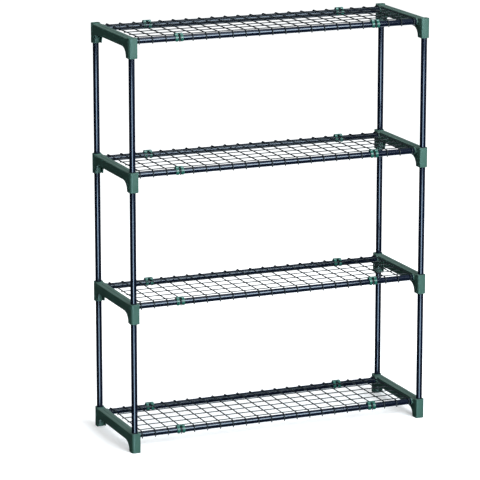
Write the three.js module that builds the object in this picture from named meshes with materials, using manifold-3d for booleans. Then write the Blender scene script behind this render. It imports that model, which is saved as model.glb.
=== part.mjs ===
// Four-tier wire shelving rack for greenhouse and nursery benches.
// Push-fit steel tubes stand in moulded end brackets. Each tier has one bracket at each end, a front
// and a rear rail, and a welded wire deck that hooks over both rails and is held by four snap clips.
// Millimetres, +Z up, front at -Y, origin on the floor in the middle of the rack.
import * as THREE from "three";
import { mergeVertices } from "three/addons/utils/BufferGeometryUtils.js";
import Module from "manifold-3d";

const wasm = await Module();
wasm.setup();

// Overall sizes
const overall_width = 904.2;
const overall_depth = 304.8;
const overall_height = 1168.4;
const tier_count = 4;

// Fits
const slip_gap = 0.3;

// Steel tubes, the same stock for posts and rails
const tube_od = 17;
const tube_wall = 1;
const tube_sides = 12;

// End bracket
const bracket_height = 55.88;
const collar_outer_wall = 3.6;
const collar_inner_wall = 5.2;
const collar_rise = 2.28;
const collar_outer_round = 9.5;
const collar_inner_round = 4.5;
const socket_wall = 2.4;
const socket_stop_bottom = 26;
const socket_stop_thickness = 4;
const beam_setback = 0.8;
const beam_height = 25.1;
const beam_edge_chamfer = 1.8;
const plate_thickness = 3;
const gusset_reach = 42;
const gusset_foot = 13;
const gusset_foot_chamfer = 2.5;
const gusset_steps = 5;
const groove_depth = 1;
const groove_width = 2;
const side_groove_height = 3.6;
const side_groove_pitch = 6;

// Rails
const rail_post_web = 2.4;
const rail_cover = 1.4;
const rail_stop = 7;
const rail_boss_wall = 1.2;
const rail_boss_length = 4.5;

// Wire deck
const cross_wire_count = 22;
const cross_wire_d = 3.2;
const deck_end_gap = 7.9;
const long_wire_count = 6;
const long_wire_d = 2.8;
const long_wire_inset = 17.5;
const long_wire_overrun = 2.5;
const weld_bite = 0.6;
const hook_tail = 0.4;

// Snap clips
const clip_wire_from_end = 3;
const clip_band_width = 8;
const clip_slot_clearance = 1.9;
const clip_wall = 2.2;
const clip_bridge = 1.5;
const clip_bridge_half_depth = 5;
const clip_mouth_half_angle = 45;
const clip_outer_steps = 2;

// Worked-out places
const tube_radius = tube_od / 2;
const bore_radius = tube_radius + slip_gap;
const collar_reach = bore_radius + collar_outer_wall;
const collar_inner_reach = bore_radius + collar_inner_wall;
const post_x = overall_width / 2 - collar_reach;
const post_y = overall_depth / 2 - collar_reach;
const beam_outer_reach = collar_reach - beam_setback;
const beam_top = bracket_height - collar_rise;
const beam_bottom = beam_top - beam_height;
const socket_stop_top = socket_stop_bottom + socket_stop_thickness;
const rail_y = post_y - 2 * bore_radius - rail_post_web;
const rail_axis_height = beam_top - rail_cover - bore_radius;
const rail_top = rail_axis_height + tube_radius;
const under_rail = rail_axis_height - bore_radius - rail_boss_wall;
const boss_face_x = post_x - collar_inner_reach - rail_boss_length;
const cross_wire_radius = cross_wire_d / 2;
const cross_wire_height = rail_top + slip_gap + cross_wire_radius;
const cross_wire_pitch = (2 * (boss_face_x - deck_end_gap)) / (cross_wire_count - 1);
const long_wire_radius = long_wire_d / 2;
const long_wire_pitch = (2 * (rail_y - long_wire_inset)) / (long_wire_count - 1);
const long_wire_height = cross_wire_height - cross_wire_radius - long_wire_radius + weld_bite;
const clip_slot_width = cross_wire_d + 2 * clip_slot_clearance;
const clip_top = cross_wire_height + cross_wire_radius + slip_gap + clip_bridge;
const top_tier_height = Math.max(bracket_height, clip_top);
const tier_pitch = (overall_height - top_tier_height) / (tier_count - 1);
const tier_heights = Array.from({ length: tier_count }, (_, i) => i * tier_pitch);

const bracket_plastic = new THREE.MeshStandardMaterial({ color: 0x4a7566, roughness: 0.55, metalness: 0 });
const clip_plastic = new THREE.MeshStandardMaterial({ color: 0x2f7f6c, roughness: 0.45, metalness: 0 });
const tube_paint = new THREE.MeshStandardMaterial({ color: 0x141a26, roughness: 0.3, metalness: 0.2 });
const wire_coat = new THREE.MeshStandardMaterial({ color: 0x26302d, roughness: 0.45, metalness: 0.1 });

// Solids for joining and cutting ------------------------------------------------------------

function solidFrom(geometry) {
  const plain = geometry.index ? geometry.toNonIndexed() : geometry.clone();
  plain.deleteAttribute("normal");
  plain.deleteAttribute("uv");
  const merged = mergeVertices(plain, 1e-4);
  return new wasm.Manifold(new wasm.Mesh({
    numProp: 3,
    vertProperties: new Float32Array(merged.attributes.position.array),
    triVerts: new Uint32Array(merged.index.array),
  }));
}

function geometryFrom(solid) {
  const mesh = solid.getMesh();
  const geometry = new THREE.BufferGeometry();
  geometry.setAttribute("position", new THREE.BufferAttribute(new Float32Array(mesh.vertProperties), 3));
  geometry.setIndex(new THREE.BufferAttribute(new Uint32Array(mesh.triVerts), 1));
  geometry.computeVertexNormals();
  return geometry;
}

function joined(solids) {
  return solids.reduce((whole, solid) => whole.add(solid));
}

function cut(solid, tools) {
  return tools.reduce((rest, tool) => rest.subtract(tool), solid);
}

function extruded(points, length, origin, first, second, along) {
  const shape = new THREE.Shape(points.map(([a, b]) => new THREE.Vector2(a, b)));
  const geometry = new THREE.ExtrudeGeometry(shape, { depth: length, bevelEnabled: false });
  const place = new THREE.Matrix4().makeBasis(first, second, along);
  place.setPosition(origin);
  return geometry.applyMatrix4(place);
}

const X = new THREE.Vector3(1, 0, 0);
const Y = new THREE.Vector3(0, 1, 0);
const Z = new THREE.Vector3(0, 0, 1);

// Outline of [y, z] points, extruded along X
function prismX(points, x0, x1) {
  return extruded(points, x1 - x0, new THREE.Vector3(x0, 0, 0), Y, Z, X);
}

// Outline of [x, z] points, extruded along Y
function prismY(points, y0, y1) {
  const turned = points.map(([x, z]) => [z, x]);
  return extruded(turned, y1 - y0, new THREE.Vector3(0, y0, 0), Z, X, Y);
}

// Outline of [x, y] points, extruded along Z
function prismZ(points, z0, z1) {
  return extruded(points, z1 - z0, new THREE.Vector3(0, 0, z0), X, Y, Z);
}

function box(x0, x1, y0, y1, z0, z1) {
  return solidFrom(prismZ([[x0, y0], [x1, y0], [x1, y1], [x0, y1]], z0, z1));
}

function circle(radius, centre = [0, 0], sides = tube_sides) {
  return Array.from({ length: sides }, (_, i) => {
    const angle = ((i + 0.5) / sides) * 2 * Math.PI;
    const reach = radius / Math.cos(Math.PI / sides);
    return [centre[0] + reach * Math.cos(angle), centre[1] + reach * Math.sin(angle)];
  });
}

function arc(centre, radius_a, radius_b, from, to, steps) {
  return Array.from({ length: steps + 1 }, (_, i) => {
    const angle = THREE.MathUtils.degToRad(from + ((to - from) * i) / steps);
    return [centre[0] + radius_a * Math.cos(angle), centre[1] + radius_b * Math.sin(angle)];
  });
}

// Tubes ---------------------------------------------------------------------------------------

function tube(prism, from, to) {
  const outside = solidFrom(prism(circle(tube_radius), from, to));
  const inside = solidFrom(prism(circle(tube_radius - tube_wall), from - 1, to + 1));
  return geometryFrom(outside.subtract(inside));
}

// End bracket, drawn for the left end: post axes at x = 0, +X towards the middle of the rack ----

// Outline of one collar. side is 1 at the front of the rack and -1 at the rear.
function collarOutline(side) {
  const outer = -collar_reach;
  const inner = collar_inner_reach;
  const big = collar_outer_round;
  const small = collar_inner_round;
  const outline = [
    [outer, 0],
    ...arc([outer + big, big - collar_reach], big, big, 180, 270, 3),
    ...arc([inner - small, small - collar_reach], small, small, 270, 360, 2),
    [inner, 0],
  ];
  return facing(side, outline.map(([x, reach]) => [x, side * (reach - post_y)]));
}

// Outline of the plates below the beam: a foot beside the collar and a hollow curve up to the beam
function gussetOutline(side) {
  const run = gusset_reach - gusset_foot;
  const rise = beam_bottom - gusset_foot_chamfer;
  const outline = [
    [0, 0],
    [gusset_foot - gusset_foot_chamfer, 0],
    [gusset_foot, gusset_foot_chamfer],
    ...arc([gusset_reach, gusset_foot_chamfer], -run, rise, 0, 90, gusset_steps).slice(1),
    [gusset_reach, beam_bottom + 1],
    [0, beam_bottom + 1],
  ];
  return facing(side, outline.map(([reach, z]) => [side * (reach - post_y), z]));
}

// Mirrored outlines run the other way round, so they are turned back
function facing(side, outline) {
  return side > 0 ? outline : outline.reverse();
}

// A box between two reaches from one post axis towards the middle, between the two side plates
function boxBetweenPlates(side, reach_from, reach_to, z0, z1) {
  const ends = [reach_from, reach_to].map((reach) => side * (reach - post_y));
  const x0 = plate_thickness - beam_outer_reach;
  const x1 = collar_inner_reach - plate_thickness;
  return box(x0, x1, Math.min(...ends), Math.max(...ends), z0, z1);
}

function bracketGeometry() {
  const c = beam_edge_chamfer;
  const beam = solidFrom(prismY([
    [-beam_outer_reach, beam_bottom],
    [collar_inner_reach, beam_bottom],
    [collar_inner_reach, beam_top],
    [c - beam_outer_reach, beam_top],
    [-beam_outer_reach, beam_top - c],
  ], -post_y, post_y));
  const plates = [1, -1].map((side) => (
    solidFrom(prismX(gussetOutline(side), -beam_outer_reach, collar_inner_reach))
  ));

  const hollow_end = rail_y - bore_radius - rail_boss_wall;
  const hollows = [
    ...[1, -1].map((side) => boxBetweenPlates(side, 1, gusset_reach + 1, -1, under_rail)),
    boxBetweenPlates(1, post_y - hollow_end, post_y + hollow_end, -1, beam_top - plate_thickness),
  ];
  const shell = cut(joined([beam, ...plates]), hollows);

  const added = [1, -1].flatMap((side) => [
    solidFrom(prismZ(collarOutline(side), 0, bracket_height)),
    solidFrom(prismZ(circle(bore_radius + socket_wall, [0, -side * post_y]), 0, bracket_height)),
    solidFrom(prismX(
      circle(bore_radius + rail_boss_wall, [-side * rail_y, rail_axis_height]),
      0, collar_inner_reach + rail_boss_length,
    )),
  ]);
  const bores = [1, -1].flatMap((side) => [
    solidFrom(prismZ(circle(bore_radius, [0, -side * post_y]), -1, socket_stop_bottom)),
    solidFrom(prismZ(circle(bore_radius, [0, -side * post_y]), socket_stop_top, bracket_height + 1)),
    solidFrom(prismX(
      circle(bore_radius, [-side * rail_y, rail_axis_height]),
      -rail_stop, collar_inner_reach + rail_boss_length + 1,
    )),
  ]);
  const groove_end = post_y - 2 * collar_reach;
  const top_groove = box(0, groove_width, -groove_end, groove_end, beam_top - groove_depth, beam_top + 1);
  const side_end = hollow_end - rail_boss_wall;
  const side_middle = (beam_bottom + beam_top) / 2;
  const side_grooves = [-1, 0, 1].map((step) => {
    const z = side_middle + step * side_groove_pitch;
    const half = side_groove_height / 2;
    const face = collar_inner_reach;
    return box(face - groove_depth, face + 1, -side_end, side_end, z - half, z + half);
  });
  return geometryFrom(cut(joined([shell, ...added]), [...bores, top_groove, ...side_grooves]));
}

// Wire deck -------------------------------------------------------------------------------------

// A path through given points, with one section at each point
class WirePath extends THREE.Curve {
  constructor(points) {
    super();
    this.points = points;
  }
  getPoint(t, target = new THREE.Vector3()) {
    return target.copy(this.points[Math.round(t * (this.points.length - 1))]);
  }
  getPointAt(t, target) {
    return this.getPoint(t, target);
  }
  getTangentAt(t, target = new THREE.Vector3()) {
    const last = this.points.length - 1;
    const i = Math.round(t * last);
    const before = this.points[Math.max(i - 1, 0)];
    const here = this.points[i];
    const after = this.points[Math.min(i + 1, last)];
    const arriving = here.clone().sub(before).normalize();
    const leaving = after.clone().sub(here).normalize();
    return target.copy(arriving).add(leaving).normalize();
  }
}

function wire(points, radius) {
  const section = new THREE.Shape([[radius, 0], [0, radius], [-radius, 0], [0, -radius]]
    .map(([a, b]) => new THREE.Vector2(a, b)));
  const path = new WirePath(points);
  return solidFrom(new THREE.ExtrudeGeometry(section, { steps: points.length - 1, extrudePath: path }));
}

function crossWire(x) {
  const reach = tube_radius + slip_gap + cross_wire_radius;
  const corner = reach * (Math.SQRT2 - 1) + 0.3;
  const half = [
    [rail_y + reach, rail_axis_height - tube_radius - hook_tail],
    [rail_y + reach, rail_axis_height + corner],
    [rail_y + corner, cross_wire_height],
  ];
  const rear = half.map(([y, z]) => new THREE.Vector3(x, y, z));
  const front = half.map(([y, z]) => new THREE.Vector3(x, -y, z)).reverse();
  return wire([...rear, ...front], cross_wire_radius);
}

function wireDeckGeometry() {
  const cross_x = Array.from({ length: cross_wire_count }, (_, i) => (
    (i - (cross_wire_count - 1) / 2) * cross_wire_pitch
  ));
  const long_y = Array.from({ length: long_wire_count }, (_, i) => (
    (i - (long_wire_count - 1) / 2) * long_wire_pitch
  ));
  const end_x = cross_x[cross_wire_count - 1] + long_wire_overrun;
  const long_wires = long_y.map((y) => wire(
    [new THREE.Vector3(-end_x, y, long_wire_height), new THREE.Vector3(end_x, y, long_wire_height)],
    long_wire_radius,
  ));
  return geometryFrom(joined([...cross_x.map(crossWire), ...long_wires]));
}

// Snap clip, drawn about the rail axis ----------------------------------------------------------

function clipGeometry() {
  const inner = bore_radius / Math.cos(Math.PI / tube_sides);
  const outer = inner + clip_wall;
  const from = -90 + clip_mouth_half_angle;
  const to = 270 - clip_mouth_half_angle;
  const inner_steps = Math.round(((to - from) / 360) * tube_sides);
  const top = clip_top - rail_axis_height;
  const b = clip_bridge_half_depth;
  const outline = [
    ...arc([0, 0], outer, outer, from, 90 - clip_mouth_half_angle, clip_outer_steps),
    [b, top],
    [-b, top],
    ...arc([0, 0], outer, outer, 90 + clip_mouth_half_angle, to, clip_outer_steps),
    ...arc([0, 0], inner, inner, to, from, inner_steps),
  ];
  const half_width = clip_slot_width / 2 + clip_band_width;
  const bands = solidFrom(prismX(outline, -half_width, half_width));
  const past = outer + 1;
  const slot = box(-clip_slot_width / 2, clip_slot_width / 2, -past, past, -past, top - clip_bridge);
  return geometryFrom(bands.subtract(slot));
}

// Assembly --------------------------------------------------------------------------------------

const group = new THREE.Group();
group.name = "wire_shelving_rack";

function place(name, geometry, material, x = 0, y = 0, z = 0, turn = 0) {
  const mesh = new THREE.Mesh(geometry, material);
  mesh.name = name;
  mesh.position.set(x, y, z);
  mesh.rotation.z = turn;
  group.add(mesh);
}

const bracket = bracketGeometry();
const post_length = tier_pitch - (socket_stop_top - socket_stop_bottom) - 2 * slip_gap;
const post = tube(prismZ, 0, post_length);
const rail_half_length = post_x + rail_stop - slip_gap;
const rail = tube(prismX, -rail_half_length, rail_half_length);
const deck = wireDeckGeometry();
const clip = clipGeometry();
const clip_x = ((cross_wire_count - 1) / 2 - clip_wire_from_end) * cross_wire_pitch;

tier_heights.forEach((z, i) => {
  const tier = i + 1;
  place(`end_bracket_left_tier_${tier}`, bracket, bracket_plastic, -post_x, 0, z);
  place(`end_bracket_right_tier_${tier}`, bracket, bracket_plastic, post_x, 0, z, Math.PI);
  place(`rail_front_tier_${tier}`, rail, tube_paint, 0, -rail_y, z + rail_axis_height);
  place(`rail_rear_tier_${tier}`, rail, tube_paint, 0, rail_y, z + rail_axis_height);
  place(`wire_deck_tier_${tier}`, deck, wire_coat, 0, 0, z);
  for (const [row, y] of [["front", -rail_y], ["rear", rail_y]]) {
    for (const [end, x] of [["left", -clip_x], ["right", clip_x]]) {
      place(`clip_${row}_${end}_tier_${tier}`, clip, clip_plastic, x, y, z + rail_axis_height);
    }
  }
  if (tier < tier_count) {
    const foot = z + socket_stop_top + slip_gap;
    place(`post_front_left_level_${tier}`, post, tube_paint, -post_x, -post_y, foot);
    place(`post_front_right_level_${tier}`, post, tube_paint, post_x, -post_y, foot);
    place(`post_rear_left_level_${tier}`, post, tube_paint, -post_x, post_y, foot);
    place(`post_rear_right_level_${tier}`, post, tube_paint, post_x, post_y, foot);
  }
});

export default group;
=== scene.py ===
"""A four-tier wire shelving rack: end brackets, steel tubes, welded wire decks and snap clips.

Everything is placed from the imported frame, in metres, with +Z up and the front of the rack at -Y.
"""
import math

import bmesh
import bpy
from mathutils import Matrix, Vector


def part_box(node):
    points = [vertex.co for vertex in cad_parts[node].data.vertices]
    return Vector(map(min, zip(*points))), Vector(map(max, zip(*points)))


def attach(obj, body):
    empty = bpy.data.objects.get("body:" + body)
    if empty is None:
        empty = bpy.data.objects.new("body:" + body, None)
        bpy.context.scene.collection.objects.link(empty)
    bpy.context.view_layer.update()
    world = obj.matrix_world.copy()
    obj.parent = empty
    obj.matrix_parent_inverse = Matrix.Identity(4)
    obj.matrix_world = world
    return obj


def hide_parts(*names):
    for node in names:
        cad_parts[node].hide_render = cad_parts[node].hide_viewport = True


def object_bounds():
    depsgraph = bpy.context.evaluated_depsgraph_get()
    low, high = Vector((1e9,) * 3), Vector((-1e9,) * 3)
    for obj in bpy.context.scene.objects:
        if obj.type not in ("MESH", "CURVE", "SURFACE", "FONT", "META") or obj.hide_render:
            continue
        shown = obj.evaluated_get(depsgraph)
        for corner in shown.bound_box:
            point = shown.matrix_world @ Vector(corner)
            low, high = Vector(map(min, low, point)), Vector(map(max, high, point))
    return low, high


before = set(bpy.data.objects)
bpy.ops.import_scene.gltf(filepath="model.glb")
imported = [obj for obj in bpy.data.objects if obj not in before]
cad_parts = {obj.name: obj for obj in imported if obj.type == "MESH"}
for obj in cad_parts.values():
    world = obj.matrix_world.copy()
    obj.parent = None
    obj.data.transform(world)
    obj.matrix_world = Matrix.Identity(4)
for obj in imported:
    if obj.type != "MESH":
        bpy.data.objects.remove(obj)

MM = 0.001
BODY = "root"
TIERS = (1, 2, 3, 4)
LEVELS = (1, 2, 3)
ENDS = ("left", "right")
ROWS = ("front", "rear")

cad_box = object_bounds()

# ---------------------------------------------------------------------------------------------
# Sizes. The frame gives every place; these are the thicknesses and roundings that it does not.

ROUND_STEPS = 56
# How far joined solids run into each other, and cutters run past a face.
OVERLAP = 1 * MM
EDGE_ROUND = 0.7 * MM
FINE_ROUND = 0.4 * MM
# Edges that turn by more than this many degrees are shaded sharp.
BRACKET_SHARP = 35
CLIP_SHARP = 40
ROUND_SHARP = 50

TUBE_WALL = 1.0 * MM
TUBE_LIP_SHARE = 0.4
TUBE_LIP_STEPS = 3
SLIP_GAP = 0.3 * MM

COLLAR_OUTER_ROUND = 9.5 * MM
COLLAR_INNER_ROUND = 4.5 * MM
COLLAR_INNER_WALL = 5.2 * MM
COLLAR_RISE = 2.28 * MM
SOCKET_WALL = 2.4 * MM
SOCKET_STOP_BOTTOM = 26 * MM
SOCKET_STOP_TOP = 30 * MM
SOCKET_LEAD_IN = 0.7 * MM

BEAM_SETBACK = 0.8 * MM
BEAM_HEIGHT = 25.1 * MM
BEAM_OUTER_ROUND = 2.2 * MM
PLATE_THICKNESS = 3.0 * MM
HOLLOW_END_DEPTH = 6 * MM
RIB_COUNT = 5
RIB_THICKNESS = 1.8 * MM
RIB_LIFT = 2 * MM
RIB_SPREAD = 0.72
GUSSET_REACH = 42 * MM
GUSSET_FOOT = 13 * MM
GUSSET_FOOT_ROUND = 2.5 * MM
GUSSET_OVERLAP = 2 * MM

RAIL_BOSS_WALL = 1.2 * MM
RAIL_BOSS_EDGE = 0.8 * MM
RAIL_BOSS_EDGE_MIDDLE = 0.25 * MM
RAIL_STOP = 7 * MM
RAIL_MOUTH_DEPTH = 0.3 * MM
RAIL_MOUTH_FLARE = 1.3 * MM

GROOVE_DEPTH = 0.9 * MM
TOP_GROOVE_WIDTH = 1.6 * MM
TOP_GROOVE_ROUND = 0.3 * MM
SIDE_GROOVE_HEIGHT = 3.6 * MM
SIDE_GROOVE_PITCH = 6 * MM
SIDE_GROOVE_ROUND = 0.6 * MM
SIDE_GROOVE_END = 3 * MM

CROSS_WIRE_COUNT = 22
CROSS_WIRE_D = 3.2 * MM
LONG_WIRE_COUNT = 6
LONG_WIRE_D = 2.8 * MM
LONG_WIRE_OVERRUN = 2.5 * MM
LONG_WIRE_INSET = 17.5 * MM
WIRE_SIDES = 12
WIRE_BEND_STEPS = 10
WIRE_UNEVENNESS = 0.3 * MM
WELD_BITE = 0.6 * MM
WELD_RADII = (2.2 * MM, 2.2 * MM, 1.4 * MM)

CLIP_BAND_WIDTH = 8 * MM
CLIP_BAND_ROUND = 0.75 * MM
CLIP_SLOT_WIDTH = 7 * MM
CLIP_WALL = 2.2 * MM
CLIP_LIP = 0.9 * MM
CLIP_BRIDGE = 1.5 * MM
CLIP_BRIDGE_HALF_DEPTH = 5 * MM
CLIP_BRIDGE_OVERLAP = 2 * MM
CLIP_BRIDGE_SETBACK = 0.4 * MM
CLIP_BRIDGE_DROP = 0.1 * MM
CLIP_BRIDGE_ROUND = 0.45 * MM
CLIP_CORNER_ROUND = 1.2 * MM
CLIP_RIB_HALF_WIDTH = 1.6 * MM
CLIP_RIB_RISE = 0.45 * MM
CLIP_RIB_ROOT = 0.6 * MM
# Angles about the rail axis, in degrees.
CLIP_MOUTH_HALF_ANGLE = 45
CLIP_LIP_SWEEP = 8
CLIP_SHOULDER = 62
CLIP_RIB_START = 22
CLIP_RIB_PAST_SHOULDER = 4

# The studio. Azimuth 0 is in front of the rack, at -Y, and angles are in degrees.
STRIP_AZIMUTH = -17
STRIP_HALF_WIDTH = 10
STRIP_FADE = 7
STRIP_STRENGTH = 14.0
FLOOR_SHEEN_AZIMUTH = 157
FLOOR_SHEEN_HALF_WIDTH = 25
FLOOR_SHEEN_FADE = 12
FLOOR_SHEEN = 2.0
FLOOR_HALF_SIZE = 60.0
# The floor's painted glow near the rack and far from it, and the distances between: the weaker glow
# near the rack is a painted shade round its base.
FLOOR_PAINTED_GLOW = (0.28, 0.55)
FLOOR_PAINTED_SHADE_REACH = (0.4, 1.5)
CAMERA_PLACE = (-3.232, -7.517, 2.484)
CAMERA_YAW = 22.86
CAMERA_TILT = -13.39
CAMERA_LENS = 222.0


def centre(node):
    low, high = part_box(node)
    return (low + high) / 2


def tube_radius():
    low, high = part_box("rail_front_tier_1")
    return (high.z - low.z) / 2


R_TUBE = tube_radius()
R_BORE = R_TUBE + SLIP_GAP
ALONG_X = Matrix.Rotation(math.radians(90), 4, "Y")


# ---------------------------------------------------------------------------------------------
# Node helpers

def add(tree, kind, x=0, y=0, **settings):
    node = tree.nodes.new(kind)
    node.location = (x, y)
    for key, value in settings.items():
        setattr(node, key, value)
    return node


def link(tree, start, end):
    tree.links.new(start, end)


def feed(tree, value, socket):
    """Gives a socket a number, or links another socket to it."""
    if isinstance(value, (int, float)):
        socket.default_value = value
    else:
        link(tree, value, socket)


def geometry_tree(name, inputs):
    """An empty Geometry Nodes tree with named inputs, given as (name, socket type, value)."""
    tree = bpy.data.node_groups.new(name, "GeometryNodeTree")
    tree.interface.new_socket("Geometry", in_out="OUTPUT", socket_type="NodeSocketGeometry")
    for label, kind, value in inputs:
        socket = tree.interface.new_socket(label, in_out="INPUT", socket_type=kind)
        if value is not None:
            socket.default_value = value
    group_in = add(tree, "NodeGroupInput", -1200)
    group_out = add(tree, "NodeGroupOutput", 1300)
    return tree, group_in, group_out


def run_tree(name, tree, values):
    """Runs a tree on an empty object and gives back the finished mesh."""
    holder = bpy.data.objects.new(name, bpy.data.meshes.new(name + "_start"))
    bpy.context.scene.collection.objects.link(holder)
    modifier = holder.modifiers.new("nodes", "NODES")
    modifier.node_group = tree
    for item in tree.interface.items_tree:
        if item.item_type == "SOCKET" and item.in_out == "INPUT" and item.name in values:
            modifier[item.identifier] = values[item.name]
    return settle(holder)


def settle(holder):
    """Evaluates an object's modifiers, gives the result as a plain mesh and removes the object."""
    bpy.context.view_layer.update()
    evaluated = holder.evaluated_get(bpy.context.evaluated_depsgraph_get())
    mesh = bpy.data.meshes.new_from_object(evaluated)
    bpy.data.objects.remove(holder)
    return mesh


def combine(tree, x, y, z, place=(0, 0)):
    """A vector from three sockets or numbers."""
    node = add(tree, "ShaderNodeCombineXYZ", *place)
    for socket, value in zip(node.inputs, (x, y, z)):
        feed(tree, value, socket)
    return node.outputs[0]


def math_node(tree, operation, first, second, place=(0, 0)):
    node = add(tree, "ShaderNodeMath", *place, operation=operation)
    for socket, value in zip(node.inputs, (first, second)):
        feed(tree, value, socket)
    return node.outputs[0]


def row_of_points(tree, count, pitch, along_x, y):
    """Points at one pitch along x or y, centred on the origin."""
    gaps = math_node(tree, "SUBTRACT", count, 1.0, (-1000, y))
    span = math_node(tree, "MULTIPLY", gaps, pitch, (-850, y))
    first = math_node(tree, "MULTIPLY", span, -0.5, (-700, y))
    line = add(tree, "GeometryNodeMeshLine", -300, y, mode="OFFSET")
    link(tree, count, line.inputs["Count"])
    ends = (first, 0.0, 0.0) if along_x else (0.0, first, 0.0)
    steps = (pitch, 0.0, 0.0) if along_x else (0.0, pitch, 0.0)
    link(tree, combine(tree, *ends, (-500, y + 60)), line.inputs["Start Location"])
    link(tree, combine(tree, *steps, (-500, y - 60)), line.inputs["Offset"])
    return line.outputs[0]


def finish_tree(tree, geometry, material, end):
    """Ends a tree with real geometry that carries its material."""
    real = add(tree, "GeometryNodeRealizeInstances", 950, 0)
    link(tree, geometry, real.inputs[0])
    coat = add(tree, "GeometryNodeSetMaterial", 1100, 0)
    link(tree, real.outputs[0], coat.inputs["Geometry"])
    link(tree, material, coat.inputs["Material"])
    link(tree, coat.outputs[0], end.inputs[0])


# ---------------------------------------------------------------------------------------------
# Shader node groups

def shader_group(name, inputs, outputs):
    tree = bpy.data.node_groups.new(name, "ShaderNodeTree")
    for label, kind, value in inputs:
        tree.interface.new_socket(label, in_out="INPUT", socket_type=kind).default_value = value
    for label, kind in outputs:
        tree.interface.new_socket(label, in_out="OUTPUT", socket_type=kind)
    return tree, add(tree, "NodeGroupInput", -900), add(tree, "NodeGroupOutput", 900)


def noise(tree, vector, scale, detail, place=(0, 0)):
    node = add(tree, "ShaderNodeTexNoise", *place)
    node.inputs["Scale"].default_value = scale
    node.inputs["Detail"].default_value = detail
    link(tree, vector, node.inputs["Vector"])
    return node.outputs["Fac"]


def remap(tree, value, low, high, to_low=0.0, to_high=1.0, place=(0, 0)):
    """Turns low to high into to_low to to_high, easing in and out."""
    node = add(tree, "ShaderNodeMapRange", *place, interpolation_type="SMOOTHSTEP")
    link(tree, value, node.inputs["Value"])
    labels = ("From Min", "From Max", "To Min", "To Max")
    for label, number in zip(labels, (low, high, to_low, to_high)):
        node.inputs[label].default_value = number
    return node.outputs["Result"]


def mottle_group():
    """Soft changes of tone over a few centimetres, with a finer grain on top."""
    tree, start, end = shader_group(
        "tone_mottle",
        [("Vector", "NodeSocketVector", (0, 0, 0)), ("Broad", "NodeSocketFloat", 9.0),
         ("Fine", "NodeSocketFloat", 160.0)],
        [("Mask", "NodeSocketFloat")],
    )
    broad = add(tree, "ShaderNodeTexNoise", -500, 150)
    fine = add(tree, "ShaderNodeTexNoise", -500, -150)
    for node, label in ((broad, "Broad"), (fine, "Fine")):
        node.inputs["Detail"].default_value = 3.0
        link(tree, start.outputs["Vector"], node.inputs["Vector"])
        link(tree, start.outputs[label], node.inputs["Scale"])
    low = math_node(tree, "MULTIPLY", broad.outputs["Fac"], 0.65, (-200, 150))
    high = math_node(tree, "MULTIPLY", fine.outputs["Fac"], 0.35, (-200, -150))
    total = math_node(tree, "ADD", low, high, (50, 0))
    link(tree, remap(tree, total, 0.32, 0.68, place=(300, 0)), end.inputs["Mask"])
    return tree


def dust_and_top_light_group():
    """Pale dust that settles on faces that look up, broken into patches; it also paints the lighter
    tops that overhead light gives, a painted top light.
    """
    tree, start, end = shader_group(
        "dust_and_top_light",
        [("Vector", "NodeSocketVector", (0, 0, 0)), ("Amount", "NodeSocketFloat", 0.5)],
        [("Mask", "NodeSocketFloat")],
    )
    facing = add(tree, "ShaderNodeNewGeometry", -700, -200)
    split = add(tree, "ShaderNodeSeparateXYZ", -500, -200)
    link(tree, facing.outputs["Normal"], split.inputs[0])
    upward = remap(tree, split.outputs["Z"], 0.55, 0.95, place=(-300, -200))
    patches = noise(tree, start.outputs["Vector"], 38.0, 4.0, (-500, 150))
    patches = remap(tree, patches, 0.25, 0.75, 0.55, 1.0, (-200, 150))
    mask = math_node(tree, "MULTIPLY", upward, patches, (100, 0))
    scaled = math_node(tree, "MULTIPLY", mask, start.outputs["Amount"], (350, 0))
    link(tree, scaled, end.inputs["Mask"])
    return tree


def scuff_group():
    """Thin rubbed streaks. A streak is long along the axis where Stretch is small."""
    tree, start, end = shader_group(
        "rubbed_streaks",
        [("Vector", "NodeSocketVector", (0, 0, 0)), ("Stretch", "NodeSocketVector", (1, 1, 1)),
         ("Amount", "NodeSocketFloat", 0.5)],
        [("Mask", "NodeSocketFloat")],
    )
    stretched = add(tree, "ShaderNodeVectorMath", -600, 0, operation="MULTIPLY")
    link(tree, start.outputs["Vector"], stretched.inputs[0])
    link(tree, start.outputs["Stretch"], stretched.inputs[1])
    streaks = noise(tree, stretched.outputs[0], 1.0, 5.0, (-350, 100))
    thin = remap(tree, streaks, 0.6, 0.72, place=(-100, 100))
    areas = noise(tree, start.outputs["Vector"], 14.0, 2.0, (-350, -200))
    areas = remap(tree, areas, 0.45, 0.65, place=(-100, -200))
    mask = math_node(tree, "MULTIPLY", thin, areas, (150, 0))
    scaled = math_node(tree, "MULTIPLY", mask, start.outputs["Amount"], (350, 0))
    link(tree, scaled, end.inputs["Mask"])
    return tree


MOTTLE = mottle_group()
DUST_AND_TOP_LIGHT = dust_and_top_light_group()
SCUFFS = scuff_group()


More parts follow.
